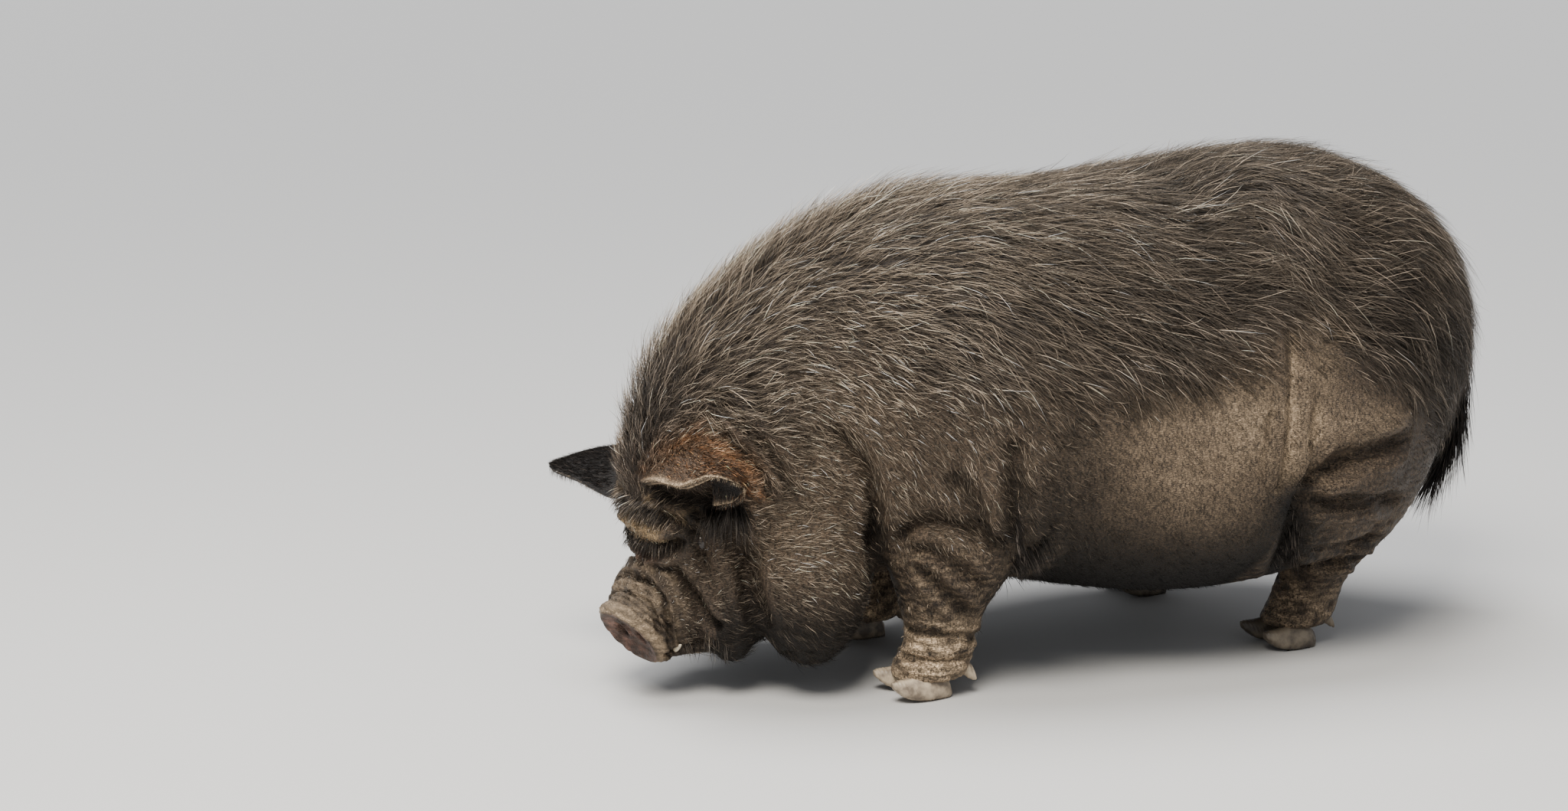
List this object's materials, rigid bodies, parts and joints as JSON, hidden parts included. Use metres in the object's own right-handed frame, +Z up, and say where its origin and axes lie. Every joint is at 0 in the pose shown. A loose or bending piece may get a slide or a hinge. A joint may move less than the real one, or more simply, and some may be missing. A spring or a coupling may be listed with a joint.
{
  "type": "pot bellied pig",
  "caption": "Still, life-size model of a fat pot-bellied pig standing on four short legs with its head down, for display on a floor.",
  "frame": {"origin": "middle of the bounding box on the floor the pig stands on", "axes": "the pig faces -X, its left side faces -Y, and +Z is up"},
  "size_m": [1.1726, 0.5926, 0.5979],
  "materials": {
    "skin": "wrinkled dark grey-brown hide under a bristly black coat",
    "snout": "bare, finely creased grey-pink skin",
    "horn": "dull grey-beige horn",
    "eye": "wet, very dark brown",
    "tusk": "smooth ivory"
  },
  "bodies": {
    "root": {"head": "skin", "snout": "snout", "neck": "skin", "torso": "skin", "tail": "skin", "leg_front_left": "skin", "leg_front_right": "skin", "leg_hind_left": "skin", "leg_hind_right": "skin", "ear_left": "skin", "ear_right": "skin", "eye_left": "eye", "eye_right": "eye", "tusk_left": "tusk", "tusk_right": "tusk", "hoof_front_left_inner": "horn", "hoof_front_left_outer": "horn", "hoof_front_right_inner": "horn", "hoof_front_right_outer": "horn", "hoof_hind_left_inner": "horn", "hoof_hind_left_outer": "horn", "hoof_hind_right_inner": "horn", "hoof_hind_right_outer": "horn", "dewclaw_front_left_inner": "horn", "dewclaw_front_left_outer": "horn", "dewclaw_front_right_inner": "horn", "dewclaw_front_right_outer": "horn", "dewclaw_hind_left_inner": "horn", "dewclaw_hind_left_outer": "horn", "dewclaw_hind_right_inner": "horn", "dewclaw_hind_right_outer": "horn"}
  },
  "joints": []
}
